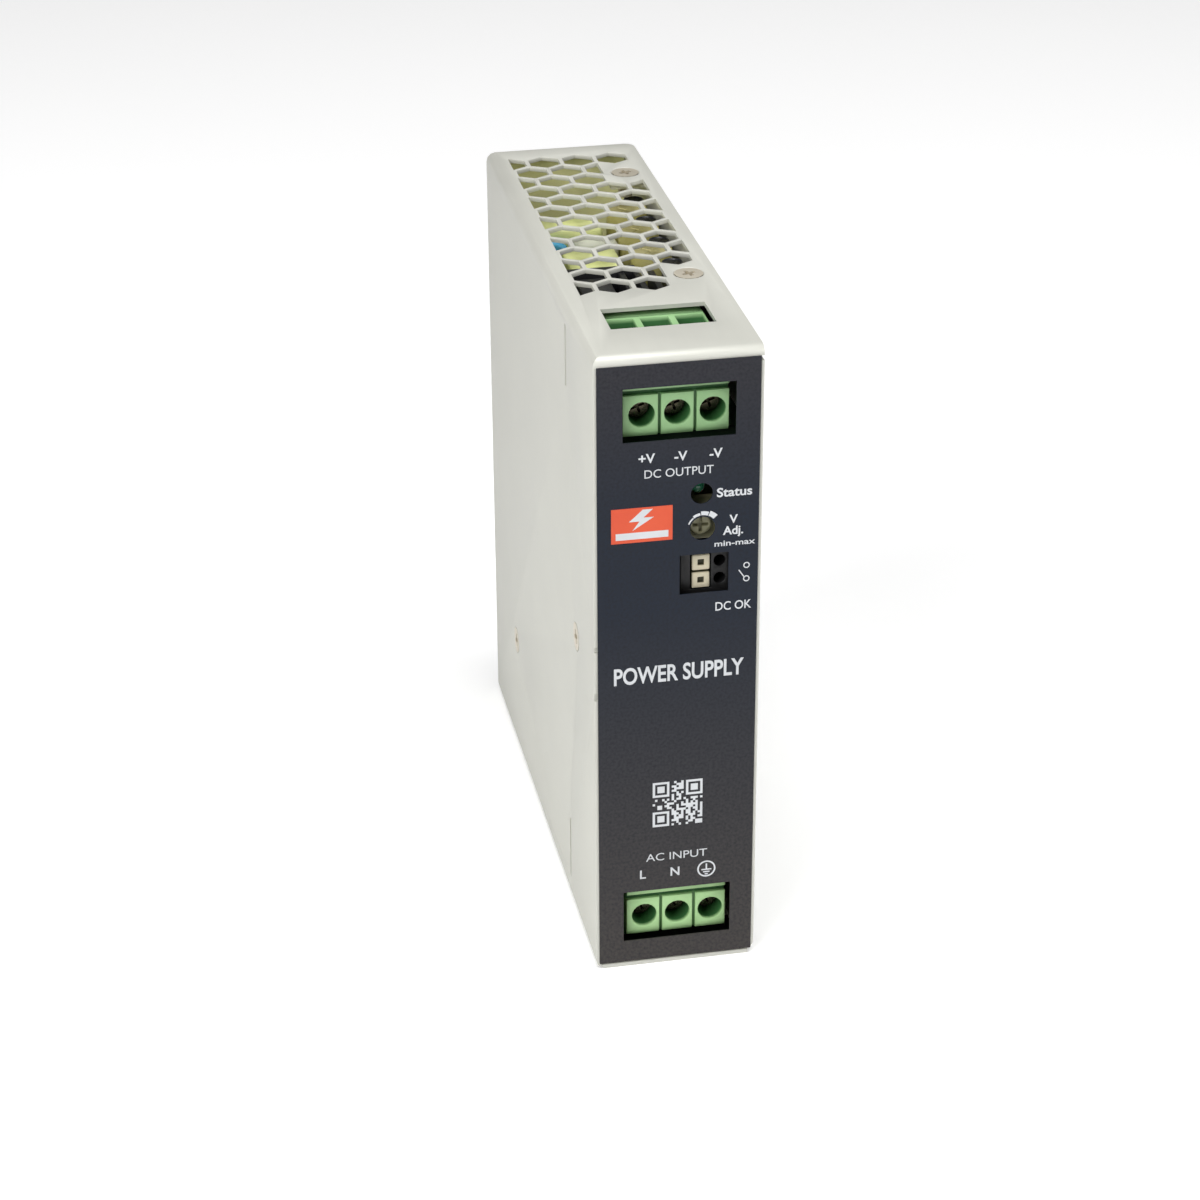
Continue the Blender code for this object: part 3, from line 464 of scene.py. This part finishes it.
blue = surface("blue_coat", shade(70, 160, 205), shade(96, 184, 224), 0.35, 0.06)
brown = surface("brown_case", shade(104, 66, 44), shade(128, 84, 58), 0.4, 0.06)
yellow_case = surface("yellow_case", shade(196, 186, 92), shade(214, 204, 112), 0.4, 0.05)
anodised = surface("black_anodised", shade(38, 38, 40), shade(56, 56, 58), 0.42, 0.08, Metallic=0.5)
extruded = surface("extruded_aluminium", shade(168, 168, 166), shade(190, 190, 188), 0.38, 0.08, Metallic=0.9)
refine("y_capacitor", blue, "blue_coat", 0.3, steps=3)
refine("x_capacitor", yellow_case, "yellow_winding", 0.2)
refine("fuse", brown, "brown_case", 0.3)
refine("relay", resin, "black_plastic", 0.2)
refine("bridge_rectifier", resin, "black_plastic", 0.2)
refine("output_heatsink", anodised, "black_anodised", 0.12)
refine("primary_heatsink", extruded, "plain_aluminium", 0.15)

devices = []
for z in (36, 54, 72):
    devices.append(block((-6.5, 72.7, z - 6), (3.5, 75.6, z + 6), 0.4))
settle(joined(devices), "clamped_transistors", resin, "case", "black_plastic")
settle(block((-9.6, 54.9, 113.9), (4.0, 57.6, 118.9), 0.3), "winding_flange", resin, "case", "black_plastic")
settle(block((-8.6, 39.0, 118.35), (-3.0, 51.0, 118.9), 0.2), "relay_cap", resin, "case", "black_plastic")

# ---------------------------------------------------------------- screw terminals
# Each block is moulded in green nylon with a tinned contact, a nickel clamp cage and a cross head screw
# in every chamber. The screw turns in place and its thread draws the cage forward over the wire.


def nylon(name):
    """Moulded nylon: satin, with painted light and shade. The lower block is painted paler, as if more
    strongly lit, and everything behind the front face is painted dark green, as the shade in the recesses.

    The painted shade is left off the tops of the walls between the cells of the upper block, where light
    falls on them through the window.
    """
    look, shader, spot = blank(name)
    patches = spot.noise(120.0, 2.0).sharpen(0.3, 0.7)
    upper_face = patches.blend(shade(146, 188, 132), shade(158, 200, 144))
    # Painted light: a paler copy of the face colour for the lower block, as if it were more strongly lit.
    painted_lit_lower_face = patches.blend(shade(172, 214, 150), shade(184, 226, 162))
    face = (spot.axis("Z") < 40 * MM).blend(upper_face, painted_lit_lower_face)
    inward = spot.axis("Y")
    # Painted shade: from 2.1 to 3 mm behind the front face the nylon turns dark green, and stays so further
    # in.
    recess = inward.sharpen(FRONT + 2.1 * MM, FRONT + 3.0 * MM)
    behind = inward > FRONT + 12.5 * MM
    # Painted light: behind the window, the tops of the cell walls keep the face colour where light falls on
    # them.
    window_lit_wall_top = spot.axis("Z").sharpen(121.2 * MM, 121.9 * MM) * behind
    (recess - window_lit_wall_top).blend(face, shade(56, 106, 58)).feed(shader, "Base Color")
    (0.42 + patches * 0.08).feed(shader, "Roughness")
    relief = {"Height": spot.noise(2600.0, 2.0), "Strength": 0.12, "Distance": 0.05 * MM}
    spot.add("ShaderNodeBump", relief).feed(shader, "Normal")
    return look


green = nylon("green_nylon")
nickel = surface("nickel_clamp", shade(150, 148, 140), shade(196, 194, 184), 0.3, 0.08, Metallic=1.0)
tin = surface("tinned_contact", shade(176, 176, 172), shade(206, 206, 202), 0.32, 0.06, Metallic=1.0)
plated = surface("plated_steel", shade(206, 198, 180), shade(228, 220, 202), 0.36, 0.1, Metallic=0.35)
# Painted shade: the terminal screws are coloured dark steel, much darker than the plated cover screws, for the
# shade deep in their bores.
shaded_screw_steel = surface("screw_steel_painted_dark", shade(66, 60, 52), shade(128, 118, 102), 0.26, 0.1, Metallic=1.0)
THREAD_PITCH = 0.5
THREAD_ROOT = 0.82


def cross_recess(piece, centre, along, reach, width, depth):
    """Cut a cross into a screw head. The centre is on the head's face and along points out of it."""
    for turn in (0, 1):
        bpy.ops.object.select_all(action="DESELECT")
        bpy.ops.mesh.primitive_cube_add(size=1, location=centre - along * depth * MM / 2)
        bar = bpy.context.object
        bar.scale = (reach * MM, width * MM, (depth + 0.4) * MM)
        tilt = along.to_track_quat("Z", "Y").to_matrix().to_4x4()
        bar.rotation_euler = (tilt @ Matrix.Rotation(math.radians(20 + 90 * turn), 4, "Z")).to_euler()
        alone(bar)
        bpy.ops.object.transform_apply()
        recess = piece.modifiers.new("recess", "BOOLEAN")
        recess.operation = "DIFFERENCE"
        recess.object = bar
        alone(piece)
        bpy.ops.object.modifier_apply(modifier="recess")
        bpy.data.objects.remove(bar)


def screw(centre, along, head, head_depth, shank, length, taper):
    """A screw drawn out from its head: a ring extruded down its length, pinched in for each thread."""
    inward = -along
    turn = along.to_track_quat("Z", "Y").to_euler()
    bpy.ops.object.select_all(action="DESELECT")
    bpy.ops.mesh.primitive_circle_add(vertices=24, radius=head * MM, fill_type="NGON", location=centre,
                                      rotation=turn)
    piece = bpy.context.object
    bpy.ops.object.transform_apply()
    bpy.ops.object.mode_set(mode="EDIT")
    bpy.ops.mesh.select_all(action="SELECT")
    place = Vector(centre)
    now = head

    def draw_out(step, radius):
        nonlocal place, now
        move = inward * step * MM
        bpy.ops.mesh.extrude_region_move(TRANSFORM_OT_translate={"value": move})
        place = place + move
        bpy.ops.transform.resize(value=(radius / now,) * 3, center_override=place)
        now = radius

    draw_out(head_depth, shank if taper else head)
    if not taper:
        draw_out(0.02, shank)
    for thread in range(round((length - head_depth) / THREAD_PITCH) - 1):
        draw_out(THREAD_PITCH / 2, shank * THREAD_ROOT)
        draw_out(THREAD_PITCH / 2, shank)
    draw_out(0.3, shank * 0.6)
    bpy.ops.mesh.select_all(action="SELECT")
    bpy.ops.mesh.normals_make_consistent(inside=False)
    bpy.ops.object.mode_set(mode="OBJECT")
    reach, width, depth = (1.0, 0.3, 0.55) if taper else (1.3, 0.24, 0.4)
    cross_recess(piece, Vector(centre), along, head * reach, head * width, head * depth)
    alone(piece)
    bpy.ops.object.shade_smooth_by_angle(angle=math.radians(28))
    return piece


black = surface("black_moulding", shade(14, 14, 15), shade(25, 25, 27), 0.45, 0.08)
# Painted shadow: a thin black sheet on the case floor behind the lower window, so that the gap below the input
# terminal looks black.
settle(block((-13.0, 1.2, 0.88), (13.0, 11.9, 1.12), 0.0), "painted_shadow_strip", black, "case", "black_plastic")
POLE_PITCH = 6.35
HEAD_FACE = 6.0
for side, middle, height in (("output", 0.2, 112.05), ("input", 0.8, 9.6)):
    refine(side + "_terminal_housing", green, "green_plastic", 0.12)
    for pole in range(3):
        x = middle + (pole - 1) * POLE_PITCH
        number = f"_{pole + 1}"
        refine(side + "_cage" + number, nickel, "clamp_nickel", 0.12, side + "_cage" + number)
        refine(side + "_contact" + number, tin, "contact_tin", 0.08)
        body = side + "_screw" + number
        turned = screw(at(x, HEAD_FACE, height), Vector((0, -1, 0)), 2.0, 1.8, 1.3, 10.1, False)
        settle(turned, body + "_threaded", shaded_screw_steel, body, "zinc_screw", body)

# ---------------------------------------------------------------- signal terminal
# A small black push-in connector for the status contact: two cream buttons open its spring clamps, and
# a wire goes into the round hole beside each.

refine("signal_terminal_housing", black, "black_plastic", 0.1)


def cream_look():
    """Cream nylon, with painted shade that darkens it to olive inside the dimple for the screwdriver."""
    look, shader, spot = blank("cream_nylon", Roughness=0.45)
    patches = spot.noise(400.0, 2.0)
    # Painted shade: the colour turns olive with depth into the dimple.
    dimple = spot.axis("Y").sharpen(FRONT + 1.75 * MM, FRONT + 2.1 * MM)
    skin = patches.blend(shade(214, 204, 176), shade(230, 221, 194))
    dimple.blend(skin, shade(72, 70, 48)).feed(shader, "Base Color")
    relief = {"Height": spot.noise(2400.0, 2.0), "Strength": 0.1, "Distance": 0.05 * MM}
    spot.add("ShaderNodeBump", relief).feed(shader, "Normal")
    return look


cream = cream_look()
for button in ("release_button_1", "release_button_2"):
    refine(button, cream, "button_cream", 0.12, button)

# ---------------------------------------------------------------- trimmer and lamp
# The output is set with a cross-slot trimmer behind a round hole. A green light guide stands behind
# another hole and lights when the output is present.

olive = surface("olive_rotor", shade(128, 126, 98), shade(150, 147, 116), 0.42, 0.08)
lens = surface("green_lens", shade(24, 96, 66), shade(34, 116, 82), 0.15, 0.04, Coat_Weight=0.6)
refine("trimmer_body", olive, "rotor_olive", 0.15)
refine("trimmer_rotor", olive, "rotor_olive", 0.1, "trimmer_rotor")
refine("status_led", lens, "lamp_green", 0.1)

# ---------------------------------------------------------------- case
# The case is folded from 0.8 mm galvanised sheet: one part makes the left side, top, bottom and front,
# the other the right side and rear. Hexagons are punched in the top and bottom, and six countersunk
# screws hold the two together.


def sheet_look(name, dark, light):
    """Satin coated sheet: even and pale, with the faintest long grain of the rolled strip."""
    look, shader, spot = blank(name, Metallic=0.15)
    grain = spot.stretched((900.0, 60.0, 900.0)).noise(1.0, 3.0)
    patches = spot.noise(45.0, 3.0).sharpen(0.3, 0.7)
    (patches * 0.6 + grain * 0.4).blend(dark, light).feed(shader, "Base Color")
    (0.4 + patches * 0.06 + grain * 0.08).feed(shader, "Roughness")
    relief = {"Height": grain, "Strength": 0.08, "Distance": 0.05 * MM}
    spot.add("ShaderNodeBump", relief).feed(shader, "Normal")
    return look


sheet = sheet_look("pale_sheet", shade(210, 210, 201), shade(219, 219, 210))
refine("case_shell", sheet, "case_sheet", 0.1)
refine("side_cover", sheet, "case_sheet", 0.1)
# Each screw: the middle of its head's face, then the direction that the face looks in.
COVER_SCREWS = {"cover_screw_1": (10, 37.5, 124, 0, 0, 1), "cover_screw_2": (10, 96.1, 124, 0, 0, 1),
                "cover_screw_3": (10, 37.5, 0, 0, 0, -1), "cover_screw_4": (10, 96.1, 0, 0, 0, -1),
                "side_screw_1": (-15.2, 87.3, 25.9, -1, 0, 0), "side_screw_2": (-15.2, 18.1, 61.6, -1, 0, 0),
                "bracket_screw_1": (-7, 116.3, 66, 0, 1, 0), "bracket_screw_2": (7, 116.3, 66, 0, 1, 0)}
for name, (x, y, z, *out) in COVER_SCREWS.items():
    sunk = screw(at(x, y, z), Vector(out), 2.7, 1.25, 1.45, 5.0, True)
    settle(sunk, name + "_threaded", plated, "case", "zinc_screw", name)

# ---------------------------------------------------------------- front label
# A dark foil covers the front with the markings printed in white, an orange emblem, and windows over
# the terminals and the controls.


def foil_look():
    """Printed foil: matt, darkest in the middle and a little paler at the top and the foot."""
    look, shader, spot = blank("dark_foil", Specular_IOR_Level=0.3)
    height = spot.axis("Z")
    lower = height.sharpen(4 * MM, 75 * MM).blend(shade(66, 62, 60), shade(25, 33, 47))
    tone = height.sharpen(92 * MM, 120 * MM).blend(lower, shade(46, 46, 52))
    fine = spot.noise(1800.0, 3.0)
    fine.sharpen(0.1, 0.6).blend(shade(22, 25, 33), tone).feed(shader, "Base Color")
    (0.46 + fine * 0.1).feed(shader, "Roughness")
    relief = {"Height": fine, "Strength": 0.15, "Distance": 0.04 * MM}
    spot.add("ShaderNodeBump", relief).feed(shader, "Normal")
    return look


foil = refine("front_label", foil_look(), "label_foil", 0.0)
# The front of the foil sinks a little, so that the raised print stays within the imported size.
alone(foil)
bpy.ops.object.mode_set(mode="EDIT")
choose("faces", lambda spot, normal: normal.y < -0.9)
bpy.ops.transform.translate(value=(0, 0.05 * MM, 0))
bpy.ops.object.mode_set(mode="OBJECT")

ink = surface("white_ink", shade(206, 209, 212), shade(222, 225, 228), 0.5, 0.05)
orange = surface("orange_ink", shade(218, 80, 48), shade(230, 92, 56), 0.48, 0.05)
PRINT = -0.335
INK = 0.012
EM_TO_CAPITAL = 1.42
marks = []


def word(text, x, z, height, width=None, weight=0.05):
    """Raised print: letters of a given height, centred, and fitted to a width where one is given."""
    bpy.ops.object.select_all(action="DESELECT")
    bpy.ops.object.text_add()
    label = bpy.context.object
    label.data.body = text
    label.data.size = height * EM_TO_CAPITAL * MM
    label.data.extrude = INK * MM
    label.data.offset = weight * MM
    label.data.resolution_u = 4
    label.data.align_x = "CENTER"
    label.data.align_y = "CENTER"
    bpy.ops.object.convert(target="MESH")
    label = bpy.context.object
    stretch = width * MM / label.dimensions.x if width else 1.0
    label.scale = (stretch, 1, 1)
    label.rotation_euler = (math.pi / 2, 0, 0)
    label.location = at(x, PRINT, z)
    bpy.ops.object.transform_apply()
    marks.append(label)


def outline(rings):
    """Solid print inside one closed outline, less the ones that follow it."""
    drawing = bpy.data.curves.new("print", "CURVE")
    drawing.dimensions = "2D"
    drawing.fill_mode = "BOTH"
    drawing.extrude = INK * MM
    for ring in rings:
        loop = drawing.splines.new("POLY")
        loop.points.add(len(ring) - 1)
        loop.use_cyclic_u = True
        for point, (x, z) in zip(loop.points, ring):
            point.co = (x * MM, z * MM, 0, 1)
    mark = bpy.data.objects.new("print", drawing)
    bpy.context.scene.collection.objects.link(mark)
    alone(mark)
    bpy.ops.object.convert(target="MESH")
    mark.rotation_euler = (math.pi / 2, 0, 0)
    mark.location = at(0, PRINT, 0)
    bpy.ops.object.transform_apply()
    marks.append(mark)


def stroke(points, thick, close=False):
    """A printed line: points in millimetres across and up the label, widened to both sides."""
    line = [Vector(point) for point in points]
    left = []
    right = []
    for index, point in enumerate(line):
        before = line[index - 1] if index or close else point
        after = line[(index + 1) % len(line)] if index + 1 < len(line) or close else point
        along = (after - before).normalized()
        side = Vector((-along.y, along.x)) * thick / 2
        left.append(point + side)
        right.append(point - side)
    if close:
        outline([left, right])
    else:
        outline([left + right[::-1]])


def arc(x, z, radius, start, end, steps=14):
    """Points on an arc, in degrees anticlockwise from the right."""
    turns = [math.radians(start + (end - start) * step / steps) for step in range(steps + 1)]
    return [(x + radius * math.cos(turn), z + radius * math.sin(turn)) for turn in turns]


for x, text in ((-5.8, "+V"), (0.3, "-V"), (6.6, "-V")):
    word(text, x, 104.6, 1.75)
word("DC OUTPUT", 0.0, 101.6, 1.6, 12.4, 0.0)
word("Status", 10.1, 96.9, 1.7, 6.4)
word("V", 10.0, 91.6, 1.6)
word("Adj.", 10.0, 89.4, 1.6)
word("min-max", 10.2, 87.0, 1.1, 7.4, 0.02)
word("DC OK", 10.1, 74.5, 1.7, 6.6, 0.02)
word("POWER SUPPLY", 0.15, 61.9, 3.3, 24.0, 0.1)
word("AC INPUT", 0.1, 23.4, 1.6, 11.6, 0.0)
word("L", -6.4, 19.9, 1.8)
word("N", -0.2, 19.9, 1.8)
EARTH = 5.8
stroke(arc(EARTH, 19.85, 1.6, 0, 350, 35), 0.3, True)
stroke([(EARTH, 20.95), (EARTH, 19.83)], 0.28)
for half, level in ((0.95, 19.7), (0.62, 19.2), (0.3, 18.7)):
    stroke([(EARTH - half, level), (EARTH + half, level)], 0.26)
for z in (82.35, 79.7):
    stroke(arc(12.5, z, 0.5, 0, 342, 19), 0.2, True)
stroke([(11.1, 81.5), (12.1, 80.0)], 0.2)
TRIMMER = (4.4, 90.3)
for start, end, outer in ((158, 128, 2.85), (126, 99, 3.1), (96, 70, 3.35), (67, 42, 3.6)):
    outline([arc(*TRIMMER, 2.6, start, end, 8) + arc(*TRIMMER, outer, end, start, 8)])

draw = random.Random(11)
CELLS = 21
PATTERN_SIZE = 9.4
PATTERN_X = 0.2
PATTERN_Z = 34.7
bpy.ops.object.select_all(action="DESELECT")
bpy.ops.mesh.primitive_grid_add(x_subdivisions=CELLS, y_subdivisions=CELLS, size=PATTERN_SIZE * MM,
                                location=(0, 0, 0), rotation=(math.pi / 2, 0, 0))
pattern = bpy.context.object
pattern.location = at(PATTERN_X, PRINT - INK, PATTERN_Z)
bpy.ops.object.transform_apply()


def cell_kept(centre, normal):
    """Two nested squares in three of the corners, and a random scatter everywhere else."""
    last = CELLS - 1
    column = round((centre.x / MM - PATTERN_X) * CELLS / PATTERN_SIZE + last / 2)
    row = round((centre.z / MM - PATTERN_Z) * CELLS / PATTERN_SIZE + last / 2)
    for corner_column, corner_row in ((0, 0), (0, last), (last, last)):
        across = abs(column - corner_column)
        up = abs(row - corner_row)
        if max(across, up) <= 7:
            return max(abs(across - 3), abs(up - 3)) in (0, 1, 3)
    return draw.random() < 0.5


bpy.ops.object.mode_set(mode="EDIT")
choose("faces", lambda centre, normal: not cell_kept(centre, normal))
bpy.ops.mesh.delete(type="FACE")
bpy.ops.mesh.select_all(action="SELECT")
bpy.ops.mesh.edge_split()
bpy.ops.mesh.extrude_region_move(TRANSFORM_OT_translate={"value": (0, 2 * INK * MM, 0)})
bpy.ops.mesh.select_all(action="SELECT")
bpy.ops.mesh.normals_make_consistent(inside=False)
bpy.ops.object.mode_set(mode="OBJECT")
settle(pattern, "printed_pattern", ink, "case", "label_foil")

emblem = block((-12.1, -0.33, 88.7), (-1.05, -0.29, 95.4), 0.0)
settle(emblem, "orange_emblem", orange, "case", "label_foil")
bolt = [(-6.4, 95.0), (-8.9, 92.75), (-7.0, 92.75), (-8.3, 91.0), (-4.4, 93.45), (-6.3, 93.45), (-4.6, 95.0)]
outline([bolt])
stroke([(-11.3, 90.0), (-1.8, 90.0)], 1.3)
settle(joined(marks), "printed_marks", ink, "case", "label_foil")

# ---------------------------------------------------------------- rail clip
# A formed steel bracket hooks over the upper edge of the rail. The latch below slides in its guides and
# is pulled down against a coil spring to free the lower edge.

zinc = surface("zinc_sheet", shade(182, 182, 178), shade(206, 206, 202), 0.34, 0.1, Metallic=0.9)
dark_latch = surface("coated_latch", shade(158, 158, 154), shade(184, 184, 180), 0.36, 0.1, Metallic=0.9)
spring_wire = surface("spring_wire", shade(150, 150, 148), shade(186, 186, 184), 0.25, 0.06, Metallic=1.0)
refine("rail_bracket", zinc, "bracket_steel", 0.2)
refine("rail_latch", dark_latch, "bracket_steel", 0.2, "rail_latch")
spring = refine("latch_spring", spring_wire, "spring_steel", 0.0)
spring.parent = None
SPRING_DEPTH = 118.1
at(0, SPRING_DEPTH, 28.5)
at(0, SPRING_DEPTH, 41.5)
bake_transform(spring)
